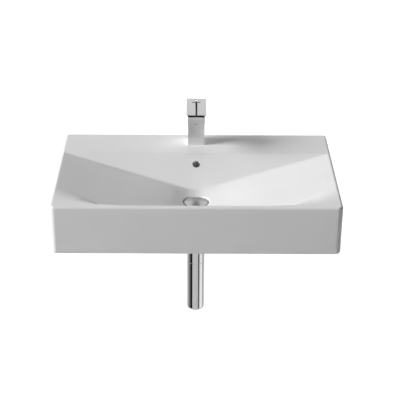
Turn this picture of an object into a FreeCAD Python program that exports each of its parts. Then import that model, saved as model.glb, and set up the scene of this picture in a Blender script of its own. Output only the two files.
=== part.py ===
"""Wall hung ceramic basin with a single-lever mixer, a push-open waste and a bottle trap.

The origin lies on the wall face, midway between the two wall studs.
+X points right, +Y into the wall and +Z up.
"""
import FreeCAD, Part
import math
import os
import re
import Sketcher

Vector = FreeCAD.Vector

# Driving sizes in millimetres, and angles in degrees.
SIZES = {
    # Basin: outside
    "basin_width": 750,
    "basin_depth": 460,
    "basin_height": 137,
    "rim_height": 70,
    "front_corner_radius": 15,
    "back_corner_radius": 9,
    "top_edge_radius": 7,
    "bottom_edge_radius": 6,
    # Basin: bowl
    "ledge_depth": 130,
    "side_rim": 8,
    "front_rim": 12,
    "bowl_fall": 75,
    "valley_radius": 140,
    "back_slope": 40,
    "front_lean": 10,
    "front_fillet": 50,
    "crease_top_radius": 2,
    "crease_low_radius": 18,
    "rim_edge_radius": 3,
    # Basin: clay thickness
    "skirt_wall": 12,
    "back_wall": 14,
    "ledge_wall": 14,
    "bowl_wall": 11,
    # Basin: waste seat, overflow and holes
    "drain_from_front": 168,
    "drain_depth": 78,
    "seat_radius": 34,
    "dish_radius": 36,
    "dish_height": 16,
    "dish_edge_radius": 3,
    "waste_hole_radius": 23,
    "boss_radius": 42,
    "boss_height": 49,
    "overflow_radius": 10.5,
    "overflow_drop": 22,
    "duct_width": 30,
    "duct_depth": 13,
    "duct_drop": 14,
    "duct_wall": 7,
    "duct_head": 4,
    "tap_hole_radius": 17.5,
    "tap_from_wall": 54,
    # Wall fixing
    "stud_spacing": 280,
    "stud_radius": 5,
    "stud_thread_radius": 4,
    "stud_shoulder": 2,
    "stud_in_wall": 60,
    "stud_inside": 18,
    "sleeve_radius": 8,
    "sleeve_flange_radius": 14,
    "sleeve_flange": 2,
    "stud_washer_radius": 12,
    "stud_washer": 2,
    "stud_nut_radius": 7.5,
    "stud_nut": 6.5,
    # Waste
    "waste_radius": 21,
    "waste_bore": 17.5,
    "waste_length": 88.5,
    "flange_radius": 32.5,
    "flange_thickness": 3,
    "flange_seal": 1.5,
    "flange_seal_inset": 1,
    "slot_width": 12,
    "lower_seal_radius": 33,
    "lower_seal": 6,
    "waste_washer": 2,
    "back_nut_radius": 31,
    "back_nut": 9,
    "cap_radius": 31.5,
    "cap_edge": 2.4,
    "cap_rise": 2.6,
    "plug_stem_radius": 4,
    "plug_seal_radius": 25,
    "plug_seal": 1.4,
    "latch_radius": 7,
    "latch_length": 42,
    "latch_web": 3,
    "latch_hang": 16,
    "cap_gap": 0.4,
    "cap_skirt": 1.6,
    # Tail and bottle trap
    "pipe_radius": 16,
    "pipe_wall": 1.2,
    "tail_nut_radius": 25,
    "tail_nut_grip": 13,
    "tail_nut_lip": 4,
    "tail_seal": 4,
    "tail_in_waste": 15,
    "trap_radius": 24,
    "trap_wall": 2.5,
    "trap_bottom": 332,
    "trap_joint": 180,
    "trap_head_top": 129,
    "trap_neck": 12,
    "trap_neck_radius": 19,
    "cup_edge_radius": 8,
    "cup_spigot": 10,
    "cup_seal": 2,
    "cup_groove": 0.8,
    "slip_nut_radius": 24,
    "slip_thread": 9.5,
    "slip_seal": 6,
    "slip_lip": 4,
    "nut_chamfer": 1,
    "dip_radius": 18.6,
    "dip_wall": 1.6,
    "dip_bottom": 282,
    "dip_entry": 30,
    "dip_flange": 2,
    "outlet_drop": 152,
    "outlet_neck": 42,
    "outlet_in_wall": 50,
    "outlet_end": 45,
    "depth_groove": 3,
    "depth_groove_depth": 0.6,
    "rosette_radius": 35,
    "rosette_height": 12,
    "rosette_wall": 1.5,
    "rosette_rim": 3,
    "outlet_entry": 26,
    # Mixer: body
    "column_width": 47,
    "column_depth": 44,
    "lever_top": 124,
    "lever_thickness": 2.5,
    "lever_gap": 7,
    "spout_reach": 93,
    "spout_height": 20,
    "body_edge_radius": 0.8,
    "base_gap": 0.2,
    "base_seal_outer": 21,
    "base_seal_inner": 18,
    "base_seal": 2,
    "aerator_setback": 14,
    "aerator_radius": 12,
    "aerator_thread_radius": 10.9,
    "aerator_skirt": 4,
    "aerator_thread": 5,
    "aerator_bore": 9,
    "aerator_edge": 0.8,
    "aerator_space": 2,
    "insert_pitch": 3,
    "insert_hole": 1,
    "water_way_radius": 3.5,
    "water_way_height": 5.5,
    "inlet_radius": 5,
    "inlet_depth": 16,
    "inlet_spacing": 18,
    "inlet_back": 4,
    "port_radius": 2.5,
    "port_spacing": 14,
    "disc_port_radius": 2,
    # Mixer: cartridge
    "cartridge_radius": 17.4,
    "cartridge_height": 40,
    "cartridge_foot": 6,
    "cartridge_waist": 1,
    "cartridge_bore": 12,
    "cartridge_seal": 1,
    "cartridge_seal_width": 3,
    "ring_nut_radius": 19.5,
    "ring_nut_bore": 12.6,
    "ring_nut": 8,
    "ring_nut_recess": 2.5,
    "disc": 4,
    "moving_disc_radius": 10.5,
    "pivot_drop": 12.5,
    "spindle": 8,
    "spindle_foot": 7,
    "spindle_room": 1.5,
    "spindle_cover": 2,
    "pin_radius": 2,
    "pin_setback": 1,
    # Mixer: lever
    "lever_width": 54.5,
    "lever_reach": 98,
    "lever_tail": 21,
    "lever_slot": 4.7,
    "lever_slot_end": 5,
    "lever_cross": 23,
    "lever_cross_forward": 8,
    "lever_edge_radius": 0.6,
    "lever_boss_radius": 8.5,
    "lever_boss_height": 8.5,
    "lever_screw_radius": 2.5,
    "lever_screw_length": 4,
    "lever_screw_drop": 4.75,
    # Mixer: fixing
    "fixing_stud_radius": 4,
    "fixing_stud_forward": 11,
    "fixing_stud_grip": 14,
    "fixing_stud_tail": 26,
    "horseshoe_radius": 25,
    "horseshoe_slot": 32,
    "horseshoe_rubber": 3,
    "horseshoe_metal": 2,
    "horseshoe_web": 3,
    "fixing_nut_radius": 7.5,
    "fixing_nut": 8,
    # Clearances
    "running_gap": 0.06,
    "thread_gap": 0.05,
    "seal_gap": 0.05,
    "slide_gap": 0.3,
    "groove_gap": 0.2,
    "overcut": 1,
}

# Levels and places worked out from the sizes.
RIM = "rim_height"
BOTTOM = "(rim_height - basin_height)"
SEAT = "(rim_height - drain_depth)"
BOSS_BOTTOM = "(rim_height - drain_depth - boss_height)"
DRAIN_Y = "(drain_from_front - basin_depth)"
TAP_Y = "(-tap_from_wall)"
DUCT_ROOF = "(rim_height - bowl_fall - duct_drop - bowl_wall / cos(back_slope))"
FLANGE_LOW = "(rim_height - drain_depth + flange_seal)"
FLANGE_TOP = "(rim_height - drain_depth + flange_seal + flange_thickness)"
WASTE_END = "(rim_height - drain_depth + flange_seal - waste_length)"
BODY_TOP = "(rim_height + lever_top - lever_thickness - lever_gap)"
BODY_BASE = "(rim_height + base_gap)"
CARTRIDGE_TOP = "(" + BODY_TOP + " - ring_nut_recess - ring_nut)"
CARTRIDGE_BASE = "(" + CARTRIDGE_TOP + " - cartridge_height)"
SEAL_BASE = "(" + CARTRIDGE_BASE + " - cartridge_seal)"
SCREW_Z = "(rim_height + lever_top - lever_thickness - lever_screw_drop)"
PIVOT = "(" + BODY_TOP + " - pivot_drop)"

# The two supply ways through the mixer, the cartridge and its lower disc.
PORTS = (("left", "-port_spacing / 2"), ("right", "port_spacing / 2"))


document = FreeCAD.newDocument("wall_hung_basin")
sheet = document.addObject("Spreadsheet::Sheet", "sizes")
for row, (alias, value) in enumerate(SIZES.items(), 1):
    sheet.set("A%d" % row, alias)
    sheet.set("B%d" % row, str(value))
    sheet.setAlias("B%d" % row, alias)
document.recompute()


def size(alias):
    """Read one size from the sheet."""
    return float(sheet.get(alias))


def formula(text):
    """Turn size names into references to the sheet."""

    def named(word):
        name = word.group()
        return "sizes." + name if name in SIZES else name

    return re.sub(r"[a-z][a-z_]*", named, text)


def bind(item, **expressions):
    """Bind properties of an object to formulas of the sizes."""
    for name, text in expressions.items():
        item.setExpression(name, formula(text))
    return item


def place(item, x="0", y="0", z="0"):
    """Bind an object's position to formulas of the sizes."""
    item.setExpression("Placement.Base.x", formula(x))
    item.setExpression("Placement.Base.y", formula(y))
    item.setExpression("Placement.Base.z", formula(z))
    return item


# Lengths that differ by less than this count as equal.
SAME = 0.01

# Turns of a piece's own +Z axis.
ALONG_X = FreeCAD.Rotation(Vector(0, 1, 0), 90)
ALONG_Y = FreeCAD.Rotation(Vector(1, 0, 0), -90)
TO_FRONT = FreeCAD.Rotation(Vector(1, 0, 0), 90)
DOWN = FreeCAD.Rotation(Vector(1, 0, 0), 180)


def box(name, x, y, z):
    """A box between two formulas along each axis."""
    item = document.addObject("Part::Box", name)
    bind(item, Length="(%s) - (%s)" % (x[1], x[0]), Width="(%s) - (%s)" % (y[1], y[0]))
    bind(item, Height="(%s) - (%s)" % (z[1], z[0]))
    return place(item, x[0], y[0], z[0])


def rod(name, radius, length, x="0", y="0", z="0", turn=None):
    """A cylinder that starts at a point and runs along +Z, or along a turned axis."""
    item = document.addObject("Part::Cylinder", name)
    bind(item, Radius=radius, Height=length)
    if turn:
        item.Placement = FreeCAD.Placement(Vector(), turn)
    return place(item, x, y, z)


def hexagon(name, radius, length, x="0", y="0", z="0", turn=None):
    """A six-sided prism whose corners lie at a radius."""
    item = document.addObject("Part::Prism", name)
    item.Polygon = 6
    bind(item, Circumradius=radius, Height=length)
    if turn:
        item.Placement = FreeCAD.Placement(Vector(), turn)
    return place(item, x, y, z)


def join(name, *pieces):
    """One solid from several."""
    item = document.addObject("Part::MultiFuse", name)
    item.Shapes = list(pieces)
    item.Refine = True
    return item


def meet(name, *pieces):
    """What several solids have in common."""
    item = document.addObject("Part::MultiCommon", name)
    item.Shapes = list(pieces)
    item.Refine = True
    return item


def less(name, base, *tools):
    """A base with one or more tools taken out of it."""
    tool = tools[0]
    if len(tools) > 1:
        tool = document.addObject("Part::MultiFuse", name + "_tools")
        tool.Shapes = list(tools)
    item = document.addObject("Part::Cut", name)
    item.Base = base
    item.Tool = tool
    item.Refine = True
    return item


def outline(owner, plane, points, name):
    """A closed sketch of straight lines whose corners are formulas of the sizes."""
    sketch = owner.newObject("Sketcher::SketchObject", name)
    origin = [feature for feature in owner.Origin.OriginFeatures if feature.Role == plane][0]
    sketch.AttachmentSupport = (origin, [""])
    sketch.MapMode = "FlatFace"
    count = len(points)
    ring = []
    for index in range(count):
        angle = 2 * math.pi * index / count
        ring.append(Vector(100 * math.cos(angle), 100 * math.sin(angle), 0))
    for index in range(count):
        sketch.addGeometry(Part.LineSegment(ring[index], ring[(index + 1) % count]))
    for index, (across, up) in enumerate(points):
        sketch.addConstraint(Sketcher.Constraint("Coincident", index, 2, (index + 1) % count, 1))
        for kind, start, text in (("DistanceX", ring[index].x, across), ("DistanceY", ring[index].y, up)):
            number = sketch.addConstraint(Sketcher.Constraint(kind, -1, 1, index, 1, start))
            sketch.setExpression("Constraints[%d]" % number, formula(text))
    return sketch


def turned(name, points, x="0", y="0", z="0", turn=None):
    """A piece turned about its own axis: each point is a radius and a height."""
    body = document.addObject("PartDesign::Body", name)
    sketch = outline(body, "XZ_Plane", points, name + "_outline")
    turning = body.newObject("PartDesign::Revolution", name + "_turning")
    turning.Profile = sketch
    turning.ReferenceAxis = (sketch, ["V_Axis"])
    turning.Angle = 360
    if turn:
        body.Placement = FreeCAD.Placement(Vector(), turn)
    return place(body, x, y, z)


def pressed(name, points, width):
    """A side outline in Y and Z, padded equally to both sides of X = 0."""
    body = document.addObject("PartDesign::Body", name)
    sketch = outline(body, "YZ_Plane", points, name + "_outline")
    pad = body.newObject("PartDesign::Pad", name + "_pad")
    pad.Profile = sketch
    pad.Midplane = True
    bind(pad, Length=width)
    return body


def tube(name, outer, inner, low, high, x="0", y="0", z="0", turn=None):
    """A plain ring or pipe between two heights."""
    return turned(name, [(inner, low), (outer, low), (outer, high), (inner, high)], x, y, z, turn)


def rounded(name, base, pick):
    """Fillets on the edges that pick gives a radius, or a pair of radii from low to high, for."""
    document.recompute()
    edges = []
    for number, edge in enumerate(base.Shape.Edges, 1):
        radius = pick(edge)
        if not radius:
            continue
        low, high = radius if isinstance(radius, tuple) else (radius, radius)
        if edge.valueAt(edge.FirstParameter).z > edge.valueAt(edge.LastParameter).z:
            low, high = high, low
        edges.append((number, low, high))
    item = document.addObject("Part::Fillet", name)
    item.Base = base
    item.Edges = edges
    return item


def is_upright(edge):
    """Whether an edge runs straight up."""
    box = edge.BoundBox
    return box.XLength < SAME and box.YLength < SAME


def is_level(edge, height):
    """Whether an edge lies flat at a height."""
    return abs(edge.BoundBox.ZMin - height) < SAME and abs(edge.BoundBox.ZMax - height) < SAME


# ---- Basin ---------------------------------------------------------------------------------------


def bowl_form(name, wall, above):
    """The bowl's hollow, grown by a wall: two side planes over a valley, a back slope and a front wall."""
    half = size("basin_width") / 2 - size("side_rim")
    fall = size("bowl_fall")
    side_angle = math.atan2(fall, half)
    back_angle = math.radians(size("back_slope"))
    top = size("rim_height") + above
    depth = size("basin_depth")
    # The V of the two side planes, lowered by the wall, with its corner rounded.
    corner = size("rim_height") - fall - wall / math.cos(side_angle)
    radius = size("valley_radius") + wall
    along = Vector(math.cos(side_angle), 0, math.sin(side_angle))
    start = Vector(0, 0, corner) + along * radius * math.tan(side_angle)
    lowest = Vector(0, 0, corner + radius / math.cos(side_angle) - radius)
    far = Vector((top - corner) / math.tan(side_angle), 0, top)
    mirror = Vector(-start.x, 0, start.z)
    left = Vector(-far.x, 0, far.z)
    across = Part.Wire([
        Part.LineSegment(left, mirror).toShape(),
        Part.Arc(mirror, lowest, start).toShape(),
        Part.LineSegment(start, far).toShape(),
        Part.LineSegment(far, left).toShape(),
    ])
    trough = Part.Face(across)
    trough.translate(Vector(0, -2 * depth, 0))
    trough = trough.extrude(Vector(0, 3 * depth, 0))
    # The front wall and the back slope, seen from the side.
    low = size("rim_height") - size("basin_height")
    front = size("front_rim") - depth - wall
    back = wall / math.sin(back_angle) - size("ledge_depth")
    run = 1 / math.tan(back_angle)
    side = Part.makePolygon([
        Vector(0, front, top),
        Vector(0, front + size("front_lean"), low),
        Vector(0, back - (size("rim_height") - low) * run, low),
        Vector(0, back + above * run, top),
        Vector(0, front, top),
    ])
    slab = Part.Face(side)
    slab.translate(Vector(-far.x - size("overcut"), 0, 0))
    slab = slab.extrude(Vector(2 * (far.x + size("overcut")), 0, 0))
    item = document.addObject("Part::Feature", name)
    item.Shape = trough.common(slab)
    return item


def front_crease(edge):
    """The radius of the long crease between the front wall and the side planes."""
    box = edge.BoundBox
    if box.ZLength < SAME or box.YMax > size("drain_from_front") / 2 - size("basin_depth"):
        return None
    return size("front_fillet")


def back_crease(edge):
    """The radii of the crease between the back slope and the side planes, low end first."""
    box = edge.BoundBox
    if box.ZLength < SAME or box.YMax < size("drain_from_front") - size("basin_depth"):
        return None
    if box.ZMax < size("rim_height"):
        return size("crease_low_radius")
    return size("crease_low_radius"), size("crease_top_radius")


def basin_block():
    """The outside of the basin: a slab with rounded corners and edges."""
    slab = box("basin_slab", ("-basin_width / 2", "basin_width / 2"), ("-basin_depth", "0"), (BOTTOM, RIM))

    def corner(edge):
        if not is_upright(edge):
            return None
        return size("back_corner_radius") if edge.BoundBox.YMax > -SAME else size("front_corner_radius")

    def long_edge(edge):
        if is_level(edge, size("rim_height")):
            return size("top_edge_radius")
        if is_level(edge, size("rim_height") - size("basin_height")):
            return size("bottom_edge_radius")
        return None

    return rounded("basin_block", rounded("basin_corners", slab, corner), long_edge)


def overflow_duct(name, wall):
    """The overflow channel behind the back slope and under the bowl, grown by a wall."""
    slope = "(rim_height + (ledge_depth + (%s)) * tan(back_slope) - (%s) / cos(back_slope))"
    near = "(bowl_wall - %s)" % wall
    far = "(bowl_wall + duct_depth + %s)" % wall
    head = "(%s - ledge_depth - duct_head)" % wall
    bend = "(-ledge_depth - (bowl_fall + duct_drop) / tan(back_slope))"
    roof = slope % (bend, near)
    floor = roof + " - duct_depth - 2 * %s" % wall
    points = [
        (head, slope % (head, near)),
        (bend, roof),
        (DRAIN_Y, roof),
        (DRAIN_Y, floor),
        (bend + " + duct_depth / 2", floor),
        (head, slope % (head, far)),
    ]
    return pressed(name, points, "duct_width + 2 * %s" % wall)


def overflow_hole():
    """The round overflow hole, square to the back slope."""
    item = rod(
        "overflow_hole",
        "overflow_radius",
        "2 * bowl_wall + duct_depth",
        y="-ledge_depth - overflow_drop / tan(back_slope) + sin(back_slope) * (bowl_wall + duct_depth / 2)",
        z="rim_height - overflow_drop - cos(back_slope) * (bowl_wall + duct_depth / 2)",
    )
    item.Placement = FreeCAD.Placement(Vector(), FreeCAD.Rotation(Vector(1, 0, 0), 1))
    item.setExpression("Placement.Rotation.Angle", formula("back_slope"))
    return item


def at_studs(make):
    """Both copies of a wall fixing piece, left and right."""
    return [make("left", "-stud_spacing / 2"), make("right", "stud_spacing / 2")]


def stud_pair(name, make):
    """Both copies of a wall fixing piece as one node of separate solids."""
    item = document.addObject("Part::Compound", name)
    item.Links = at_studs(make)
    return item


def basin():
    """Fired clay: a slab with a bowl, a seat for the waste, an overflow duct and an open hollow below."""
    inside = box(
        "basin_inside",
        ("-basin_width / 2 + skirt_wall", "basin_width / 2 - skirt_wall"),
        ("-basin_depth + skirt_wall", "-back_wall"),
        (BOTTOM + " - overcut", "rim_height - ledge_wall"),
    )
    bowl_back = bowl_form("bowl_outside", size("bowl_wall"), 0)
    boss = rod("waste_boss", "boss_radius", "boss_height + drain_depth", y=DRAIN_Y, z=BOSS_BOTTOM)
    hollow = less("basin_hollow", inside, bowl_back, boss, overflow_duct("duct_outside", "duct_wall"))
    bowl = rounded("bowl_front", bowl_form("bowl_inside", 0, size("top_edge_radius")), front_crease)
    bowl = rounded("bowl_hollow", bowl, back_crease)
    dish_top = SEAT + " + dish_height"
    dish_points = [("0", SEAT), ("seat_radius", SEAT), ("dish_radius", dish_top), ("0", dish_top)]
    dish = turned("waste_dish", dish_points, y=DRAIN_Y)
    waste_hole = rod("waste_hole", "waste_hole_radius", "basin_height", y=DRAIN_Y, z=BOTTOM)
    tap_hole = rod("tap_hole", "tap_hole_radius", "ledge_wall + 2 * overcut", y=TAP_Y,
                   z=RIM + " - ledge_wall - overcut")

    def stud_hole(side, x):
        radius = "sleeve_radius + seal_gap"
        length = "back_wall + 2 * overcut"
        return rod("stud_hole_" + side, radius, length, x=x, y="-back_wall - overcut", turn=ALONG_Y)

    tools = [hollow, bowl, dish, waste_hole, overflow_hole(), overflow_duct("duct_inside", "0"), tap_hole]
    cast = less("basin_cast", basin_block(), *tools, *at_studs(stud_hole))

    def rim_edge(edge):
        box = edge.BoundBox
        inner = size("basin_width") / 2 - size("top_edge_radius") - SAME
        front = size("top_edge_radius") + SAME - size("basin_depth")
        in_bowl = box.YMin > front and box.XMax < inner and box.XMin > -inner
        before_tap = box.YMin < SAME - size("ledge_depth")
        return in_bowl and before_tap and is_level(edge, size("rim_height"))

    def dish_edge(edge):
        box = edge.BoundBox
        middle = size("drain_from_front") - size("basin_depth")
        reach = max(abs(box.XMin), abs(box.XMax), abs(box.YMin - middle), abs(box.YMax - middle))
        height = box.ZMin - size("rim_height") + size("drain_depth")
        return reach < size("dish_radius") and SAME < height < size("dish_height")

    def bowl_edge(edge):
        if rim_edge(edge):
            return size("rim_edge_radius")
        return size("dish_edge_radius") if dish_edge(edge) else None

    return rounded("basin", cast, bowl_edge)


# ---- Wall fixing ---------------------------------------------------------------------------------


def wall_studs():
    """Two steel hanger studs: a coarse thread in the wall and a finer one through the basin's back."""

    def stud(side, x):
        points = [
            ("0", "-back_wall - stud_inside"),
            ("stud_thread_radius", "-back_wall - stud_inside"),
            ("stud_thread_radius", "stud_shoulder"),
            ("stud_radius", "stud_shoulder"),
            ("stud_radius", "stud_in_wall"),
            ("0", "stud_in_wall"),
        ]
        return turned("stud_" + side, points, x=x, turn=ALONG_Y)

    return stud_pair("wall_studs", stud)


def stud_sleeves():
    """Two nylon sleeves that keep the studs off the clay, each with a collar inside the basin."""

    def sleeve(side, x):
        bore = "stud_thread_radius + seal_gap"
        points = [
            (bore, "-back_wall - sleeve_flange"),
            ("sleeve_flange_radius", "-back_wall - sleeve_flange"),
            ("sleeve_flange_radius", "-back_wall"),
            ("sleeve_radius", "-back_wall"),
            ("sleeve_radius", "0"),
            (bore, "0"),
        ]
        return turned("sleeve_" + side, points, x=x, turn=ALONG_Y)

    return stud_pair("stud_sleeves", sleeve)


def stud_washers():
    """Two steel washers on the sleeves."""

    def washer(side, x):
        near = "-back_wall - sleeve_flange"
        bore = "stud_thread_radius + seal_gap"
        return tube("washer_" + side, "stud_washer_radius", bore, near + " - stud_washer", near, x=x, turn=ALONG_Y)

    return stud_pair("stud_washers", washer)


def stud_nuts():
    """Two hexagon nuts that pull the basin to the wall."""

    def nut(side, x):
        face = "-back_wall - sleeve_flange - stud_washer - stud_nut"
        blank = hexagon("nut_blank_" + side, "stud_nut_radius", "stud_nut", x=x, y=face, turn=ALONG_Y)
        bore = rod("nut_bore_" + side, "stud_thread_radius + thread_gap", "stud_nut + 2 * overcut", x=x,
                   y=face + " - overcut", turn=ALONG_Y)
        return less("nut_" + side, blank, bore)

    return stud_pair("stud_nuts", nut)


# ---- Waste ---------------------------------------------------------------------------------------


def waste_body():
    """Chromed brass: a flange on a threaded tube, with slots for the overflow and a web for the latch."""
    shell = turned("waste_shell", [
        ("waste_bore", WASTE_END),
        ("waste_radius", WASTE_END),
        ("waste_radius", FLANGE_LOW),
        ("flange_radius", FLANGE_LOW),
        ("flange_radius", FLANGE_LOW + " + flange_thickness / 2"),
        ("flange_radius - flange_thickness / 2", FLANGE_TOP),
        ("waste_bore + flange_thickness", FLANGE_TOP),
        ("waste_bore", FLANGE_LOW),
    ], y=DRAIN_Y)
    web = (FLANGE_LOW + " - latch_hang", FLANGE_LOW + " - latch_hang + 2 * latch_web")
    hub = rod("latch_hub", "latch_radius + latch_web", "2 * latch_web", y=DRAIN_Y, z=web[0])
    arm_y = (DRAIN_Y + " - latch_web / 2", DRAIN_Y + " + latch_web / 2")
    arm = box("latch_arm", ("-(waste_bore + waste_radius) / 2", "(waste_bore + waste_radius) / 2"), arm_y, web)
    thread = rod("latch_thread", "latch_radius + thread_gap", "4 * latch_web", y=DRAIN_Y, z=web[0] + " - latch_web")
    slot_y = (DRAIN_Y + " - waste_radius - overcut", DRAIN_Y + " + waste_radius + overcut")
    slot_z = (DUCT_ROOF + " - duct_depth", DUCT_ROOF)
    slot = box("waste_slots", ("-slot_width / 2", "slot_width / 2"), slot_y, slot_z)
    return less("waste_body", join("waste_blank", shell, hub, arm), thread, slot)


def waste_flange_seal():
    """Soft ring between the flange and the clay."""
    return tube("waste_flange_seal", "flange_radius - flange_seal_inset", "waste_hole_radius", SEAT, FLANGE_LOW,
                y=DRAIN_Y)


def waste_lower_seal():
    """Rubber ring under the clay boss."""
    bore = "waste_radius + seal_gap"
    low = BOSS_BOTTOM + " - lower_seal"
    return tube("waste_lower_seal", "lower_seal_radius", bore, low, BOSS_BOTTOM, y=DRAIN_Y)


def waste_washer():
    """Plastic slip ring between the rubber and the nut."""
    high = BOSS_BOTTOM + " - lower_seal"
    bore = "waste_radius + seal_gap"
    return tube("waste_washer", "lower_seal_radius", bore, high + " - waste_washer", high, y=DRAIN_Y)


def waste_back_nut():
    """Flat hexagon nut that clamps the waste to the bowl."""
    low = BOSS_BOTTOM + " - lower_seal - waste_washer - back_nut"
    blank = hexagon("back_nut_blank", "back_nut_radius", "back_nut", y=DRAIN_Y, z=low)
    bore = rod("back_nut_bore", "waste_radius + thread_gap", "back_nut + 2 * overcut", y=DRAIN_Y,
               z=low + " - overcut")
    return less("waste_back_nut", blank, bore)


def plug_latch():
    """Push latch screwed into the waste's web: it holds the plug down or lets it rise."""
    bore = "plug_stem_radius + running_gap"
    low = FLANGE_LOW + " - latch_hang + 2 * latch_web - latch_length"
    high = FLANGE_LOW + " - latch_hang + 4 * latch_web"
    return turned("plug_latch", [
        ("0", low),
        ("latch_radius", low),
        ("latch_radius", high),
        (bore, high),
        (bore, low + " + latch_web"),
        ("0", low + " + latch_web"),
    ], y=DRAIN_Y)


def plug_cap():
    """Domed chrome cap with a stem that slides in the latch."""
    under = FLANGE_TOP + " + running_gap + plug_seal"
    skirt = FLANGE_TOP + " + cap_gap"
    edge = FLANGE_TOP + " + cap_gap + cap_edge"
    blank = turned("cap_blank", [
        ("0", under),
        ("cap_radius - cap_skirt", under),
        ("cap_radius - cap_skirt", skirt),
        ("cap_radius", skirt),
        ("cap_radius", edge + " + cap_rise"),
        ("0", edge + " + cap_rise"),
    ], y=DRAIN_Y)
    ball = document.addObject("Part::Sphere", "cap_dome")
    dome = "((cap_radius ^ 2 + cap_rise ^ 2) / (2 * cap_rise))"
    bind(ball, Radius=dome)
    place(ball, y=DRAIN_Y, z=edge + " + cap_rise - " + dome)
    stem_low = FLANGE_LOW + " - latch_hang - 2 * latch_web"
    stem = rod("cap_stem", "plug_stem_radius", edge + " - (" + stem_low + ")", y=DRAIN_Y, z=stem_low)
    return join("plug_cap", meet("cap_shell", blank, ball), stem)


def plug_seal():
    """Rubber washer under the cap, which closes on the flange."""
    low = FLANGE_TOP + " + running_gap"
    bore = "plug_stem_radius + seal_gap"
    return tube("plug_seal", "plug_seal_radius", bore, low, low + " + plug_seal", y=DRAIN_Y)


# ---- Tailpipe and bottle trap --------------------------------------------------------------------


def slip_nut(name, radius, neck, grip, lip, face, y=None, z="0", turn=None):
    """A round union nut that screws on a neck and presses a ring on the pipe. Heights run from its lip."""
    bore = "pipe_radius + seal_gap"
    return turned(name, [
        (bore, face),
        (radius + " - nut_chamfer", face),
        (radius, face + " + nut_chamfer"),
        (radius, "%s + %s + %s" % (face, lip, grip)),
        (neck + " + thread_gap", "%s + %s + %s" % (face, lip, grip)),
        (neck + " + thread_gap", "%s + %s" % (face, lip)),
        (bore, "%s + %s" % (face, lip)),
    ], y=y or DRAIN_Y, z=z, turn=turn)


def tail_nut():
    """Nut that joins the tailpipe to the end of the waste."""
    face = WASTE_END + " - tail_seal - tail_nut_lip"
    grip = "tail_seal + tail_nut_grip"
    return slip_nut("tail_nut", "tail_nut_radius", "waste_radius", grip, "tail_nut_lip", face)


def tail_seal():
    """Ring between the waste, the nut and the tailpipe."""
    bore = "pipe_radius + seal_gap"
    outer = "waste_radius - seal_gap"
    return tube("tail_seal", outer, bore, WASTE_END + " - tail_seal", WASTE_END, y=DRAIN_Y)


def tailpipe():
    """Chromed pipe from the waste into the trap."""
    low = "-(trap_head_top + dip_entry)"
    high = WASTE_END + " + tail_in_waste"
    return tube("tailpipe", "pipe_radius", "pipe_radius - pipe_wall", low, high, y=DRAIN_Y)


def trap_head():
    """Upper part of the bottle trap, with a neck on top for the tailpipe and one behind for the outlet."""
    inner = "trap_radius - trap_wall"
    recess = "trap_radius - trap_wall / 2"
    ceiling = "-trap_head_top - 2 * trap_wall"
    shell = turned("head_shell", [
        ("pipe_radius + slide_gap", "-trap_joint"),
        ("trap_radius - cup_groove", "-trap_joint"),
        ("trap_radius", "-trap_joint + cup_groove"),
        ("trap_radius", "-trap_head_top"),
        ("trap_neck_radius", "-trap_head_top"),
        ("trap_neck_radius", "-trap_head_top + trap_neck"),
        ("pipe_radius + slide_gap", "-trap_head_top + trap_neck"),
    ], y=DRAIN_Y)
    neck = rod("head_neck", "trap_neck_radius", "outlet_neck", y=DRAIN_Y, z="-outlet_drop", turn=ALONG_Y)
    chamber = rod("head_chamber", inner, ceiling + " + trap_joint", y=DRAIN_Y, z="-trap_joint")
    socket = rod("head_socket", recess, "cup_spigot + cup_seal", y=DRAIN_Y, z="-trap_joint")
    bore = rod("head_bore", "pipe_radius + slide_gap", "outlet_neck + overcut", y=DRAIN_Y, z="-outlet_drop",
               turn=ALONG_Y)
    throat = rod("head_throat", "pipe_radius + slide_gap", "trap_joint - trap_head_top + trap_neck + overcut",
                 y=DRAIN_Y, z="-trap_joint")
    return less("trap_head", join("head_blank", shell, neck), chamber, socket, bore, throat)


def trap_inlet_nut():
    """Nut on the trap's upper neck."""
    high = "-trap_head_top + trap_neck + slip_seal + slip_lip"
    return slip_nut("trap_inlet_nut", "slip_nut_radius", "trap_neck_radius", "slip_seal + slip_thread", "slip_lip",
                    "0", z=high, turn=DOWN)


def trap_inlet_seal():
    """Rubber ring between the trap's upper neck and the tailpipe."""
    low = "-trap_head_top + trap_neck"
    outer = "trap_neck_radius - seal_gap"
    return tube("trap_inlet_seal", outer, "pipe_radius + seal_gap", low, low + " + slip_seal", y=DRAIN_Y)


def dip_tube():
    """Plastic tube inside the trap that carries the water to the bottom of the cup."""
    high = "-trap_head_top - 2 * trap_wall"
    flange = "trap_radius - trap_wall - seal_gap"
    return turned("dip_tube", [
        ("dip_radius - dip_wall", "-dip_bottom"),
        ("dip_radius", "-dip_bottom"),
        ("dip_radius", high + " - dip_flange"),
        (flange, high + " - dip_flange"),
        (flange, high),
        ("dip_radius - dip_wall", high),
    ], y=DRAIN_Y)


def trap_cup():
    """Cup that unscrews for cleaning, with a rounded bottom edge."""
    spigot = "trap_radius - trap_wall / 2 - thread_gap"
    inner = "trap_radius - trap_wall"
    cup = turned("cup_blank", [
        ("0", "-trap_bottom"),
        ("trap_radius", "-trap_bottom"),
        ("trap_radius", "-trap_joint - cup_groove"),
        ("trap_radius - cup_groove", "-trap_joint"),
        (spigot, "-trap_joint"),
        (spigot, "-trap_joint + cup_spigot"),
        (inner, "-trap_joint + cup_spigot"),
        (inner, "-trap_bottom + 2 * trap_wall"),
        ("0", "-trap_bottom + 2 * trap_wall"),
    ], y=DRAIN_Y)

    def bottom_edge(edge):
        if not is_level(edge, -size("trap_bottom")):
            return None
        return size("cup_edge_radius")

    return rounded("trap_cup", cup, bottom_edge)


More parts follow.
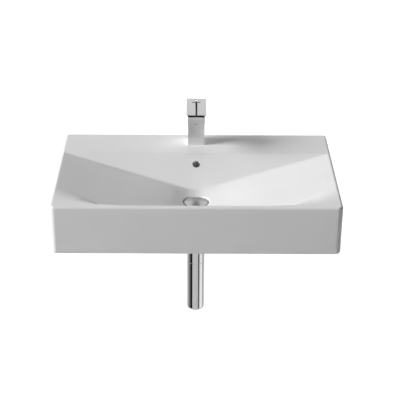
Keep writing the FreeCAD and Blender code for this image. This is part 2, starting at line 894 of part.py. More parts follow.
def trap_cup_seal():
    """Flat ring on top of the cup."""
    low = "-trap_joint + cup_spigot"
    outer = "trap_radius - trap_wall / 2 - seal_gap"
    return tube("trap_cup_seal", outer, "trap_radius - trap_wall", low, low + " + cup_seal", y=DRAIN_Y)


def outlet_nut():
    """Nut on the trap's rear neck."""
    lip = DRAIN_Y + " + outlet_neck + slip_seal + slip_lip"
    return slip_nut("outlet_nut", "slip_nut_radius", "trap_neck_radius", "slip_seal + slip_thread", "slip_lip",
                    "0", y=lip, z="-outlet_drop", turn=TO_FRONT)


def outlet_seal():
    """Rubber ring between the trap's rear neck and the outlet pipe."""
    near = DRAIN_Y + " + outlet_neck"
    outer = "trap_neck_radius - seal_gap"
    return tube("outlet_seal", outer, "pipe_radius + seal_gap", near, near + " + slip_seal", z="-outlet_drop",
                turn=ALONG_Y)


def outlet_pipe():
    """Chromed pipe from the trap into the wall, with a groove that shows how deep its bare end goes in."""
    near = DRAIN_Y + " + outlet_entry"
    bore = "pipe_radius - pipe_wall"
    low = "pipe_radius - depth_groove_depth"
    end = "outlet_in_wall - outlet_end"
    return turned("outlet_pipe", [
        (bore, near),
        ("pipe_radius", near),
        ("pipe_radius", end + " - depth_groove"),
        (low, end + " - depth_groove"),
        (low, end),
        ("pipe_radius", end),
        ("pipe_radius", "outlet_in_wall"),
        (bore, "outlet_in_wall"),
    ], z="-outlet_drop", turn=ALONG_Y)


def wall_rosette():
    """Thin chromed cover over the pipe's hole in the wall."""
    bore = "pipe_radius + slide_gap"
    return turned("wall_rosette", [
        (bore, "-rosette_height"),
        (bore + " + rosette_rim", "-rosette_height"),
        ("rosette_radius", "-rosette_rim"),
        ("rosette_radius", "0"),
        ("rosette_radius - rosette_wall", "0"),
        ("rosette_radius - rosette_wall", "-rosette_rim + rosette_wall / 2"),
        (bore + " + rosette_rim", "-rosette_height + rosette_wall"),
        (bore, "-rosette_height + rosette_wall"),
    ], z="-outlet_drop", turn=ALONG_Y)


# ---- Mixer ---------------------------------------------------------------------------------------


def mixer_body():
    """Chromed brass casting: an upright block with a flat spout, bored for the cartridge, aerator and supplies."""
    back = TAP_Y + " + column_depth / 2"
    front = TAP_Y + " - column_depth / 2"
    tip = TAP_Y + " - spout_reach"
    under = BODY_TOP + " - spout_height"
    blank = pressed("mixer_blank", [
        (back, BODY_BASE),
        (back, BODY_TOP),
        (tip, BODY_TOP),
        (tip, under),
        (front, under),
        (front, BODY_BASE),
    ], "column_width")

    def outside_edge(edge):
        on_foot = is_level(edge, size("rim_height") + size("base_gap"))
        return None if on_foot else size("body_edge_radius")

    block = rounded("mixer_block", blank, outside_edge)
    seat_depth = BODY_TOP + " - " + SEAL_BASE + " + overcut"
    seat = rod("cartridge_seat", "cartridge_radius + seal_gap", seat_depth, y=TAP_Y, z=SEAL_BASE)
    thread = rod("ring_nut_thread", "ring_nut_radius + thread_gap", "ring_nut + ring_nut_recess + overcut", y=TAP_Y,
                 z=CARTRIDGE_TOP)
    aerator_y = TAP_Y + " - spout_reach + aerator_setback"
    aerator = rod("aerator_hole", "aerator_thread_radius + thread_gap", "aerator_thread + aerator_space + overcut",
                  y=aerator_y, z=under + " - overcut")
    way = rod("water_way", "water_way_radius", "spout_reach - aerator_setback", y=aerator_y,
              z=under + " + water_way_height", turn=ALONG_Y)
    groove = tube("base_groove", "base_seal_outer + groove_gap", "base_seal_inner - groove_gap", BODY_BASE,
                  BODY_BASE + " + base_seal", y=TAP_Y)
    stud = rod("fixing_stud_hole", "fixing_stud_radius + thread_gap", "fixing_stud_grip + overcut",
               y=TAP_Y + " - fixing_stud_forward", z=BODY_BASE + " - overcut")
    tools = [seat, thread, aerator, way, groove, stud]
    for side, x in (("left", "-inlet_spacing / 2"), ("right", "inlet_spacing / 2")):
        inlet_y = TAP_Y + " + inlet_back"
        tools.append(rod("inlet_" + side, "inlet_radius", "inlet_depth + overcut", x=x, y=inlet_y,
                         z=BODY_BASE + " - overcut"))
    for side, x in PORTS:
        tools.append(rod("riser_" + side, "port_radius", SEAL_BASE + " - " + BODY_BASE + " + overcut", x=x,
                         y=TAP_Y + " + inlet_back", z=BODY_BASE))
    return less("mixer_body", block, *tools)


def mixer_base_seal():
    """Rubber ring in the mixer's foot."""
    return tube("mixer_base_seal", "base_seal_outer", "base_seal_inner", RIM, "rim_height + base_seal", y=TAP_Y)


def aerator_housing():
    """Threaded chrome ring under the tip of the spout."""
    under = BODY_TOP + " - spout_height"
    return turned("aerator_housing", [
        ("aerator_bore", under + " - aerator_skirt"),
        ("aerator_radius - aerator_edge", under + " - aerator_skirt"),
        ("aerator_radius", under + " - aerator_skirt + aerator_edge"),
        ("aerator_radius", under),
        ("aerator_thread_radius", under),
        ("aerator_thread_radius", under + " + aerator_thread"),
        ("aerator_bore", under + " + aerator_thread"),
    ], y=TAP_Y + " - spout_reach + aerator_setback")


def aerator_insert():
    """Plastic flow straightener with a grid of small holes."""
    low = BODY_TOP + " - spout_height - aerator_skirt + aerator_edge"
    high = BODY_TOP + " - spout_height + aerator_thread"
    middle = TAP_Y + " - spout_reach + aerator_setback"
    disc = rod("insert_blank", "aerator_bore - seal_gap", high + " - (" + low + ")", y=middle, z=low)
    holes = []
    for ring, count in ((1, 6), (2, 12)):
        for number in range(count):
            x = "insert_pitch * %d * cos(360 * %d / %d)" % (ring, number, count)
            y = middle + " + insert_pitch * %d * sin(360 * %d / %d)" % (ring, number, count)
            name = "insert_hole_%d_%d" % (ring, number)
            holes.append(rod(name, "insert_hole", "aerator_skirt + 2 * aerator_thread", x=x, y=y,
                             z=low + " - overcut"))
    return less("aerator_insert", disc, *holes)


def cartridge_seal():
    """Rubber seat under the cartridge."""
    bore = "cartridge_radius - cartridge_seal_width"
    return tube("cartridge_seal", "cartridge_radius", bore, SEAL_BASE, CARTRIDGE_BASE, y=TAP_Y)


def cartridge():
    """Cartridge housing: a plastic cup that holds the ceramic discs and the rotor."""
    foot = CARTRIDGE_BASE + " + cartridge_foot"
    cup = turned("cartridge_cup", [
        ("0", CARTRIDGE_BASE),
        ("cartridge_radius", CARTRIDGE_BASE),
        ("cartridge_radius", foot),
        ("cartridge_radius - cartridge_waist", foot),
        ("cartridge_radius - cartridge_waist", CARTRIDGE_TOP),
        ("cartridge_bore", CARTRIDGE_TOP),
        ("cartridge_bore", foot),
        ("0", foot),
    ], y=TAP_Y)
    ports = []
    for side, x in PORTS:
        ports.append(rod("port_" + side, "port_radius", "cartridge_foot + 2 * overcut", x=x,
                         y=TAP_Y + " + inlet_back", z=CARTRIDGE_BASE + " - overcut"))
    return less("cartridge", cup, *ports)


def fixed_disc():
    """Lower ceramic disc with the two supply ports."""
    low = CARTRIDGE_BASE + " + cartridge_foot"
    disc = rod("fixed_disc_blank", "cartridge_bore - seal_gap", "disc", y=TAP_Y, z=low)
    ports = []
    for side, x in PORTS:
        ports.append(rod("disc_port_" + side, "disc_port_radius", "disc + 2 * overcut", x=x,
                         y=TAP_Y + " + inlet_back", z=low + " - overcut"))
    return less("fixed_disc", disc, *ports)


def moving_disc():
    """Upper ceramic disc, which the rotor turns over the ports."""
    low = CARTRIDGE_BASE + " + cartridge_foot + disc + running_gap"
    return rod("moving_disc", "moving_disc_radius", "disc - running_gap", y=TAP_Y, z=low)


def cartridge_rotor():
    """Turning plastic carrier with a slot and a cross hole for the spindle and its pin."""
    low = CARTRIDGE_BASE + " + cartridge_foot + 2 * disc"
    high = CARTRIDGE_TOP + " - running_gap"
    blank = rod("rotor_blank", "cartridge_bore - running_gap", high + " - (" + low + ")", y=TAP_Y, z=low)
    slot_z = (PIVOT + " - spindle_foot - spindle_room", CARTRIDGE_TOP)
    slot = box("rotor_slot", ("-spindle / 2 - running_gap", "spindle / 2 + running_gap"),
               (TAP_Y + " - spindle", TAP_Y + " + spindle"), slot_z)
    hole = rod("rotor_pin_hole", "pin_radius", "2 * cartridge_bore", x="-cartridge_bore", y=TAP_Y, z=PIVOT,
               turn=ALONG_X)
    return less("cartridge_rotor", blank, slot, hole)


def rotor_pin():
    """Steel pin on which the spindle tilts."""
    return rod("rotor_pin", "pin_radius", "2 * (cartridge_bore - pin_setback)", x="-(cartridge_bore - pin_setback)",
               y=TAP_Y, z=PIVOT, turn=ALONG_X)


def lever_spindle():
    """Square brass spindle, pinned in the rotor, that carries the lever."""
    low = PIVOT + " - spindle_foot"
    high = BODY_TOP + " + lever_gap - spindle_cover"
    blank = box("spindle_blank", ("-spindle / 2", "spindle / 2"),
                (TAP_Y + " - spindle / 2", TAP_Y + " + spindle / 2"), (low, high))
    hole = rod("spindle_hole", "pin_radius + running_gap", "2 * spindle", x="-spindle", y=TAP_Y, z=PIVOT,
               turn=ALONG_X)
    return less("lever_spindle", blank, hole)


def cartridge_ring_nut():
    """Brass ring screwed in over the cartridge."""
    high = CARTRIDGE_TOP + " + ring_nut"
    return tube("cartridge_ring_nut", "ring_nut_radius", "ring_nut_bore", CARTRIDGE_TOP, high, y=TAP_Y)


def lever():
    """Flat chrome lever with a long slot and a cross slot, on a round boss that takes the spindle."""
    low = "rim_height + lever_top - lever_thickness"
    high = "rim_height + lever_top"
    tip = TAP_Y + " - lever_reach"
    tail = TAP_Y + " + lever_tail"
    through = (low + " - overcut", high + " + overcut")
    blank = box("lever_blank", ("-lever_width / 2", "lever_width / 2"), (tip, tail), (low, high))
    long_slot = box("lever_long_slot", ("-lever_slot / 2", "lever_slot / 2"),
                    (tip + " - overcut", tail + " - lever_slot_end"), through)
    cross_y = TAP_Y + " - lever_cross_forward"
    cross = box("lever_cross_slot", ("-lever_cross / 2", "lever_cross / 2"),
                (cross_y + " - lever_slot / 2", cross_y + " + lever_slot / 2"), through)
    slotted = less("lever_slotted", blank, long_slot, cross)
    plate = rounded("lever_plate", slotted, lambda edge: size("lever_edge_radius"))
    boss = rod("lever_boss", "lever_boss_radius", "lever_boss_height", y=TAP_Y, z=low + " - lever_boss_height")
    half = "(spindle / 2 + seal_gap)"
    socket = box("lever_socket", ("-" + half, half), (TAP_Y + " - " + half, TAP_Y + " + " + half),
                 (low + " - lever_boss_height - overcut", low + " - spindle_cover + seal_gap"))
    screw = rod("lever_screw_hole", "lever_screw_radius + thread_gap", "lever_boss_radius",
                y=TAP_Y + " - lever_boss_radius - overcut", z=SCREW_Z, turn=ALONG_Y)
    return less("lever", join("lever_joined", plate, boss), socket, screw)


def lever_screw():
    """Grub screw that locks the lever on its spindle."""
    face = TAP_Y + " - spindle / 2 - seal_gap - lever_screw_length"
    return rod("lever_screw", "lever_screw_radius", "lever_screw_length", y=face, z=SCREW_Z, turn=ALONG_Y)


def mixer_stud():
    """Threaded brass stud from the mixer's foot down through the ledge."""
    low = "rim_height - ledge_wall - fixing_stud_tail"
    length = BODY_BASE + " + fixing_stud_grip - (" + low + ")"
    return rod("mixer_stud", "fixing_stud_radius", length, y=TAP_Y + " - fixing_stud_forward", z=low)


def horseshoe(name, thickness, high):
    """A plate under the ledge, open to the back for the supplies, with a hole for the stud."""
    low = high + " - " + thickness
    plate = rod(name + "_blank", "horseshoe_radius", thickness, y=TAP_Y, z=low)
    hole = rod(name + "_hole", "fixing_stud_radius + slide_gap", thickness + " + 2 * overcut",
               y=TAP_Y + " - fixing_stud_forward", z=low + " - overcut")
    gap = box(name + "_gap", ("-horseshoe_slot / 2", "horseshoe_slot / 2"),
              (TAP_Y + " - fixing_stud_forward + fixing_stud_radius + horseshoe_web",
               TAP_Y + " + horseshoe_radius + overcut"),
              (low + " - overcut", high + " + overcut"))
    return less(name, plate, hole, gap)


def mixer_rubber_washer():
    """Rubber horseshoe under the clay."""
    return horseshoe("mixer_rubber_washer", "horseshoe_rubber", "rim_height - ledge_wall")


def mixer_metal_washer():
    """Steel horseshoe under the rubber."""
    return horseshoe("mixer_metal_washer", "horseshoe_metal", "rim_height - ledge_wall - horseshoe_rubber")


def mixer_fixing_nut():
    """Hexagon nut on the mixer's stud."""
    low = "rim_height - ledge_wall - horseshoe_rubber - horseshoe_metal - fixing_nut"
    y = TAP_Y + " - fixing_stud_forward"
    blank = hexagon("fixing_nut_blank", "fixing_nut_radius", "fixing_nut", y=y, z=low)
    bore = rod("fixing_nut_bore", "fixing_stud_radius + thread_gap", "fixing_nut + 2 * overcut", y=y,
               z=low + " - overcut")
    return less("mixer_fixing_nut", blank, bore)


PIECES = [
    basin, wall_studs, stud_sleeves, stud_washers, stud_nuts,
    waste_body, waste_flange_seal, waste_lower_seal, waste_washer, waste_back_nut,
    plug_latch, plug_cap, plug_seal,
    tail_nut, tail_seal, tailpipe, trap_head, trap_inlet_nut, trap_inlet_seal, dip_tube, trap_cup, trap_cup_seal,
    outlet_nut, outlet_seal, outlet_pipe, wall_rosette,
    mixer_body, mixer_base_seal, aerator_housing, aerator_insert,
    cartridge_seal, cartridge, fixed_disc, moving_disc, cartridge_rotor, rotor_pin, cartridge_ring_nut,
    lever_spindle, lever, lever_screw,
    mixer_stud, mixer_rubber_washer, mixer_metal_washer, mixer_fixing_nut,
]

nodes = []
for make in PIECES:
    node = make()
    node.Label = make.__name__
    nodes.append(node)
document.recompute()

for item in document.Objects:
    if "Invalid" in item.State or "Error" in item.State:
        raise RuntimeError("%s did not build: %s" % (item.Label, item.State))
for node in nodes:
    if node.Shape.isNull() or not node.Shape.isValid() or not node.Shape.Solids:
        raise RuntimeError("%s has no valid solid" % node.Label)

os.makedirs("parts", exist_ok=True)
for node in nodes:
    node.Shape.exportStep("parts/%s.step" % node.Label)
    print("%-20s solids %d  volume %.1f cm3" % (node.Label, len(node.Shape.Solids), node.Shape.Volume / 1000))
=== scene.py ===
# Wall hung basin: a white glazed bowl with a flat tap ledge, a square chrome mixer with a slotted lever,
# a push-open waste and a slim bottle trap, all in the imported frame's metres.
import math

import bmesh
import bpy
from mathutils import Matrix, Vector


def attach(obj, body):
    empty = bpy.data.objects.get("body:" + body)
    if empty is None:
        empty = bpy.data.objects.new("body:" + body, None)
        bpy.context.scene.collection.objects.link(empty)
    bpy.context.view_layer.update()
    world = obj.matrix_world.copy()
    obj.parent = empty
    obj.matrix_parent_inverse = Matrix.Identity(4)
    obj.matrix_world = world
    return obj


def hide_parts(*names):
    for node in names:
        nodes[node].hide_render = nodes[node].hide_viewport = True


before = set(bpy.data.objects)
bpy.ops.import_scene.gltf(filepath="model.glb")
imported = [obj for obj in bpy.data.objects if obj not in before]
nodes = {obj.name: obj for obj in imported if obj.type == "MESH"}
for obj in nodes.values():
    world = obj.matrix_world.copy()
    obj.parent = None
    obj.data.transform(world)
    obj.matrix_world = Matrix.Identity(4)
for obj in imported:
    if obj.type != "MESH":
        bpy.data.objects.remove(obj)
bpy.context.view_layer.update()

# ---- Basin ----
# One hollow casting of white vitreous china under a glossy glaze. The glaze pools a little in the hollows, so
# its surface is never quite flat. The bowl's side planes run out softly into the two front corners.
JOIN_WITHIN = 0.00001       # metres, within which two points of a skin are one
SMOOTH_BELOW = 35           # degrees between faces, over which an edge stays sharp
RIM = 0.070                 # height of the rim
BOWL_HALF = 0.367           # from the middle of the bowl to the side of its rim
SIDE_FALL = 0.075 / 0.367   # how steeply a side plane falls towards the drain
FRONT_EDGE = -0.448         # front edge of the bowl
CORNER_INNER = 0.212        # the finely divided corner reaches from here
CORNER_OUTER = 0.3675       # to here across the bowl,
CORNER_BACK = -0.350        # and from here
CORNER_FRONT = -0.4475      # to here towards the front
LAST_EASED = -0.4478        # no point nearer the front edge than this moves
CUTS_ACROSS, STEP_ACROSS = 40, 0.004    # cuts from the inner side outwards, and their spacing
CUTS_ALONG, STEP_ALONG = 33, 0.003      # cuts from the back forwards, and their spacing
EASE_START, EASE_WIDTH = 0.215, 0.05    # where across the bowl the run-out starts, and over what it fades in
RUN_START, RUN_WIDTH = 0.275, 0.065     # where its length is plain, and the step outwards
RUN_LENGTH, RUN_GROWTH = 0.068, 0.034   # its plain length towards the front, and what a step adds
LEVEL_GROWTH = 0.011                    # what a step adds to its level end
UPPER_SKIN = 0.01                       # the bowl's upper skin lies above this height
FACES_UP = 0.05                         # and its normals point up by more than this


def finish(name, colour, roughness, metallic=0.0):
    """A new material with one shader, whose even values sit on the shader itself."""
    material = bpy.data.materials.new(name)
    material.use_nodes = True
    shader = material.node_tree.nodes["Principled BSDF"]
    shader.inputs["Base Color"].default_value = (*colour, 1)
    shader.inputs["Roughness"].default_value = roughness
    shader.inputs["Metallic"].default_value = metallic
    return material


def grained(material, scale):
    """The material's tree and shader, with a noise that lies fixed on the piece."""
    tree = material.node_tree
    place = tree.nodes.new("ShaderNodeTexCoord")
    noise = tree.nodes.new("ShaderNodeTexNoise")
    noise.inputs["Scale"].default_value = scale
    tree.links.new(place.outputs["Object"], noise.inputs["Vector"])
    return tree, tree.nodes["Principled BSDF"], noise.outputs["Fac"]


def mottled(material, low, high, scale):
    """Lets the colour drift between two tones across the piece."""
    tree, shader, grain = grained(material, scale)
    ramp = tree.nodes.new("ShaderNodeValToRGB")
    ramp.color_ramp.elements[0].position = 0.3
    ramp.color_ramp.elements[0].color = (*low, 1)
    ramp.color_ramp.elements[1].position = 0.7
    ramp.color_ramp.elements[1].color = (*high, 1)
    tree.links.new(grain, ramp.inputs["Fac"])
    tree.links.new(ramp.outputs["Color"], shader.inputs["Base Color"])
    return material


def uneven(material, low, high, scale):
    """Lets the roughness drift between two values across the piece."""
    tree, shader, grain = grained(material, scale)
    spread = tree.nodes.new("ShaderNodeMapRange")
    spread.inputs["To Min"].default_value = low
    spread.inputs["To Max"].default_value = high
    tree.links.new(grain, spread.inputs["Value"])
    tree.links.new(spread.outputs["Result"], shader.inputs["Roughness"])
    return material


def rippled(material, scale, depth):
    """A fine waviness of the surface, as deep as depth in metres."""
    tree, shader, grain = grained(material, scale)
    bump = tree.nodes.new("ShaderNodeBump")
    bump.inputs["Distance"].default_value = depth
    tree.links.new(grain, bump.inputs["Height"])
    tree.links.new(bump.outputs["Normal"], shader.inputs["Normal"])
    return material


def merged(node):
    """A copy of a CAD piece as one joined skin."""
    shape = bmesh.new()
    shape.from_mesh(nodes[node].data)
    bmesh.ops.remove_doubles(shape, verts=shape.verts, dist=JOIN_WITHIN)
    return shape


def placed(name, shape):
    """A piece in the scene, made from a finished skin."""
    mesh = bpy.data.meshes.new(name)
    shape.to_mesh(mesh)
    shape.free()
    piece = bpy.data.objects.new(name, mesh)
    bpy.context.scene.collection.objects.link(piece)
    return piece


def shaded(name, shape):
    """A piece made from a finished skin, shaded smoothly over all but its sharp edges."""
    limit = math.radians(SMOOTH_BELOW)
    for face in shape.faces:
        face.smooth = True
        face.material_index = 0
    for edge in shape.edges:
        edge.smooth = len(edge.link_faces) == 2 and edge.calc_face_angle(0) < limit
    return placed(name, shape)


def dress(piece, material):
    """Gives a piece one material over all its faces."""
    piece.data.materials.clear()
    piece.data.materials.append(material)


def gently(value):
    """A soft step from 0 to 1."""
    value = min(max(value, 0), 1)
    return value * value * (3 - 2 * value)


def eased_height(x, y, z):
    """The bowl's height near a front corner, where the side plane runs out level before it meets the rim."""
    outward = (abs(x) - RUN_START) / RUN_WIDTH
    level_end = FRONT_EDGE + LEVEL_GROWTH * max(outward, 0)
    run = RUN_LENGTH + RUN_GROWTH * outward
    depth = max(BOWL_HALF - abs(x), 0) * SIDE_FALL
    eased = RIM - depth * gently((y - level_end) / run)
    return z + (eased - z) * gently((abs(x) - EASE_START) / EASE_WIDTH)


def ease_corner(shape, side):
    """Divides the upper skin of one front corner finely, then lets it run out."""
    faces = []
    for face in shape.faces:
        across = [side * vert.co.x for vert in face.verts]
        along = [vert.co.y for vert in face.verts]
        beside = max(across) > CORNER_INNER and min(across) < CORNER_OUTER
        ahead = min(along) < CORNER_BACK and max(along) > CORNER_FRONT
        if beside and ahead and face.normal.z > FACES_UP and face.calc_center_median().z > UPPER_SKIN:
            faces.append(face)
    region = faces + list({edge for face in faces for edge in face.edges})
    region += list({vert for face in faces for vert in face.verts})
    cuts = [((side * (CORNER_INNER + STEP_ACROSS * step), 0, 0), (1, 0, 0)) for step in range(CUTS_ACROSS)]
    cuts += [((0, CORNER_BACK - STEP_ALONG * step, 0), (0, 1, 0)) for step in range(CUTS_ALONG)]
    for place, across in cuts:
        region = bmesh.ops.bisect_plane(shape, geom=region, plane_co=place, plane_no=across)["geom"]
    for vert in {item for item in region if isinstance(item, bmesh.types.BMVert)}:
        x, y, z = vert.co
        if CORNER_INNER < side * x < CORNER_OUTER and LAST_EASED < y < CORNER_BACK:
            vert.co.z = eased_height(x, y, z)


glaze = finish("white glaze", (0.8, 0.8, 0.8), 0.1)
mottled(glaze, (0.79, 0.79, 0.79), (0.81, 0.81, 0.81), 9)
uneven(glaze, 0.07, 0.13, 14)
rippled(glaze, 55, 0.00002)
bowl = merged("basin")
ease_corner(bowl, -1)
ease_corner(bowl, 1)
basin_glazed = shaded("basin_glazed", bowl)
dress(basin_glazed, glaze)
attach(basin_glazed, "basin")
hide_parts("basin")

# ---- Wall studs ----
# Two hanger studs of zinc plated steel. The coarse thread sits in the wall plug and the finer one passes
# through the basin's back.


def as_built(node, body, material):
    """A smoothly shaded copy of a CAD piece in its finish, which rides on a body."""
    piece = shaded(node + "_finished", merged(node))
    dress(piece, material)
    dress(nodes[node], material)
    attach(piece, body)
    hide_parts(node)
    return piece


def threaded(material, pitch, depth, along):
    """Fine ridges across one axis, as far apart as the pitch in metres."""
    tree = material.node_tree
    shader = tree.nodes["Principled BSDF"]
    place = tree.nodes.new("ShaderNodeTexCoord")
    ridges = tree.nodes.new("ShaderNodeTexWave")
    bump = tree.nodes.new("ShaderNodeBump")
    ridges.bands_direction = along
    # a wave of scale 1 repeats every pi / 10 metres
    ridges.inputs["Scale"].default_value = math.pi / (10 * pitch)
    bump.inputs["Distance"].default_value = depth
    tree.links.new(place.outputs["Object"], ridges.inputs["Vector"])
    tree.links.new(ridges.outputs["Fac"], bump.inputs["Height"])
    tree.links.new(bump.outputs["Normal"], shader.inputs["Normal"])
    return material


zinc_thread = finish("zinc plated thread", (0.62, 0.63, 0.64), 0.35, 1.0)
mottled(zinc_thread, (0.56, 0.57, 0.58), (0.66, 0.67, 0.68), 90)
threaded(zinc_thread, 0.0015, 0.0005, "Y")
as_built("wall_studs", "basin", zinc_thread)

# ---- Stud sleeves ----
# Two sleeves of natural nylon, each moulded with a collar inside the basin. They line the holes in the back
# and keep the steel off the clay.
nylon = finish("white nylon", (0.75, 0.75, 0.71), 0.45)
mottled(nylon, (0.72, 0.72, 0.68), (0.78, 0.78, 0.74), 50)
as_built("stud_sleeves", "basin", nylon)

# ---- Stud washers ----
# Two punched steel washers with a dull zinc plate. They lie between the nuts and the collars of the sleeves
# and spread the pull.
zinc = finish("zinc plate", (0.62, 0.63, 0.64), 0.35, 1.0)
mottled(zinc, (0.56, 0.57, 0.58), (0.66, 0.67, 0.68), 90)
as_built("stud_washers", "basin", zinc)

# ---- Stud nuts ----
# Two hexagon nuts in a slightly brighter zinc plate. They are tightened inside the hollow under the ledge
# and pull the basin to the wall.
bright_zinc = finish("bright zinc plate", (0.68, 0.69, 0.7), 0.28, 1.0)
mottled(bright_zinc, (0.62, 0.63, 0.64), (0.72, 0.73, 0.74), 120)
as_built("stud_nuts", "basin", bright_zinc)

# ---- Waste body ----
# A brass tube with a flange, chrome plated all over. Its lower part has a fine thread for the back nut and
# the tail nut.
DRAIN_Y = -0.292            # the waste stands here, on the basin's middle line
THREAD_RADIUS = 0.0205      # the thread's faces lie outside this radius
THREAD_TOP = -0.0125        # and below this height
UPRIGHT = 0.1               # a face stands upright if its normal rises or falls by less than this
chrome = finish("chrome plate", (0.62, 0.62, 0.63), 0.05, 1.0)
uneven(chrome, 0.03, 0.07, 40)
waste = as_built("waste_body", "basin", chrome)
waste_thread = threaded(finish("chromed thread", (0.6, 0.6, 0.61), 0.12, 1.0), 0.0015, 0.0005, "Z")
uneven(waste_thread, 0.1, 0.15, 60)
waste.data.materials.append(waste_thread)
for face in waste.data.polygons:
    from_axis = face.center.xy - Vector((0, DRAIN_Y))
    outside = from_axis.length > THREAD_RADIUS
    if outside and face.center.z < THREAD_TOP and abs(face.normal.z) < UPRIGHT:
        face.material_index = 1

# ---- Waste flange seal ----
# A thin ring of pale soft rubber between the flange and the clay. The flange presses it flat when the back
# nut is tightened.
pale_rubber = finish("pale rubber", (0.5, 0.5, 0.48), 0.6)
mottled(pale_rubber, (0.46, 0.46, 0.44), (0.54, 0.54, 0.52), 80)
as_built("waste_flange_seal", "basin", pale_rubber)

# ---- Waste lower seal ----
# A thick ring of dull black rubber under the clay boss, with a finely uneven skin. It seals the waste against
# the clay from below.
rubber = finish("black rubber", (0.03, 0.03, 0.03), 0.7)
mottled(rubber, (0.02, 0.02, 0.02), (0.04, 0.04, 0.04), 80)
rippled(rubber, 400, 0.00005)
as_built("waste_lower_seal", "basin", rubber)

# ---- Waste washer ----
# A slip ring of white nylon between the rubber and the back nut, so that the nut turns without dragging the
# rubber round.
as_built("waste_washer", "basin", nylon)

# ---- Waste back nut ----
# A flat hexagon nut of plain brass, cut from bar. It runs on the thread of the waste and clamps the waste to
# the bowl.
brass = finish("turned brass", (0.72, 0.58, 0.32), 0.3, 1.0)
mottled(brass, (0.66, 0.52, 0.28), (0.74, 0.6, 0.34), 60)
as_built("waste_back_nut", "basin", brass)

# ---- Plug latch ----
# The barrel of the push latch, turned from brass and screwed into the web of the waste. It holds the plug
# down or lets it rise.
as_built("plug_latch", "basin", brass)

# ---- Plug cap ----
# A domed chromed cap with a stem that slides in the latch. Its plate is duller than the trap's and darker
# than the mixer's.
cap_chrome = finish("soft chrome", (0.42, 0.42, 0.43), 0.2, 1.0)
uneven(cap_chrome, 0.17, 0.23, 70)
as_built("plug_cap", "plug", cap_chrome)

# ---- Plug seal ----
# A washer of black rubber under the cap, which closes on the flange of the waste when the cap
# goes down.
as_built("plug_seal", "plug", rubber)

# ---- Tail nut ----
# A round union nut, turned and chromed like the trap. It joins the tailpipe to the end of the
# waste.
as_built("tail_nut", "basin", chrome)

# ---- Tail seal ----
# A flat ring of black rubber between the end of the waste, the tail nut and the tailpipe. The nut
# presses it.
as_built("tail_seal", "basin", rubber)

# ---- Tailpipe ----
# A thin drawn brass pipe, chromed outside. It hangs from the tail nut and reaches down into the neck of the
# trap.
as_built("tailpipe", "basin", chrome)

# ---- Trap head ----
# The upper part of the bottle trap, a chromed casting with one neck on top for the tailpipe and one behind
# for the outlet.
as_built("trap_head", "basin", chrome)

# ---- Trap inlet nut ----
# The chromed union nut on the upper neck of the trap. It presses a rubber ring on the tailpipe and so
# carries the trap.
as_built("trap_inlet_nut", "basin", chrome)

# ---- Trap inlet seal ----
# A ring of black rubber between the upper neck of the trap and the tailpipe. It grips the pipe when the nut
# is tightened.
as_built("trap_inlet_seal", "basin", rubber)

# ---- Dip tube ----
# A tube moulded in grey plastic, inside the trap. It carries the water down to the bottom of
# the cup.
plastic = finish("grey plastic", (0.18, 0.18, 0.19), 0.4)
mottled(plastic, (0.16, 0.16, 0.17), (0.2, 0.2, 0.21), 70)
as_built("dip_tube", "basin", plastic)

# ---- Trap cup ----
# A slim chromed cup with a rounded bottom edge, which closes the trap from below. It unscrews by hand for
# cleaning.
as_built("trap_cup", "basin", chrome)

# ---- Trap cup seal ----
# A flat ring of black rubber on top of the cup, which the cup presses to the head of the
# trap.
as_built("trap_cup_seal", "basin", rubber)

# ---- Outlet nut ----
# The chromed union nut on the rear neck of the trap. It presses a rubber ring on the outlet pipe, as the
# inlet nut does on the tailpipe.
as_built("outlet_nut", "basin", chrome)

# ---- Outlet seal ----
# A ring of black rubber between the rear neck of the trap and the outlet pipe. It grips the pipe when the
# nut is tightened.
as_built("outlet_seal", "basin", rubber)

# ---- Outlet pipe ----
# A chromed pipe from the trap into the wall. A turned groove near its bare end shows how deep that end goes
# in.
as_built("outlet_pipe", "basin", chrome)

# ---- Wall rosette ----
# A pressed cover of thin chromed brass. It slips over the outlet pipe and hides the pipe's hole in the
# wall.
as_built("wall_rosette", "basin", chrome)

# ---- Mixer body ----
# A square brass casting with a flat spout, ground and chrome plated. The grinding leaves it a little softer
# than the trap. Its level top under the lever, round the cartridge, is painted black as painted shade from
# the lever.
SHADE_ABOVE = 0.15          # level faces above this height get the painted shade
FACING = 0.9                # a face looks along an axis if its normal reaches this on it
satin = finish("ground chrome", (0.74, 0.74, 0.75), 0.3, 1.0)
uneven(satin, 0.27, 0.33, 60)
# painted shade: a black, rough finish for faces that lie in the lever's shade
painted_shade = finish("black painted shade", (0.01, 0.01, 0.01), 0.5)
uneven(painted_shade, 0.45, 0.55, 90)
mixer = as_built("mixer_body", "basin", satin)
mixer.data.materials.append(painted_shade)
# the level top above that height gets the painted shade
for face in mixer.data.polygons:
    if face.normal.z > FACING and face.center.z > SHADE_ABOVE:
        face.material_index = 1

# ---- Mixer base seal ----
# A ring of black rubber set into the foot of the mixer. It is pressed on the ledge and keeps water out of
# the tap hole.
as_built("mixer_base_seal", "basin", rubber)

# ---- Aerator housing ----
# A threaded ring, chromed like the trap, under the tip of the spout. It is screwed up into the spout and
# holds the insert.
as_built("aerator_housing", "basin", chrome)

# ---- Aerator insert ----
# A round insert of grey plastic with a grid of small holes, which stands in the housing and
# straightens the flow of the water.
as_built("aerator_insert", "basin", plastic)

# ---- Cartridge seal ----
# A ring of black rubber under the edge of the cartridge. It is the cartridge's seat on the floor of the
# mixer's hollow.
as_built("cartridge_seal", "basin", rubber)

# ---- Cartridge ----
# A cup moulded in grey plastic, which stands in the mixer's hollow and holds the two ceramic discs and the
# rotor.
as_built("cartridge", "basin", plastic)

# ---- Fixed disc ----
# The lower disc, of ground alumina, with the two supply ports. It stands still in the bottom of
# the cartridge.
alumina = finish("ground alumina", (0.78, 0.75, 0.69), 0.25)
mottled(alumina, (0.75, 0.72, 0.66), (0.8, 0.77, 0.72), 60)
as_built("fixed_disc", "basin", alumina)

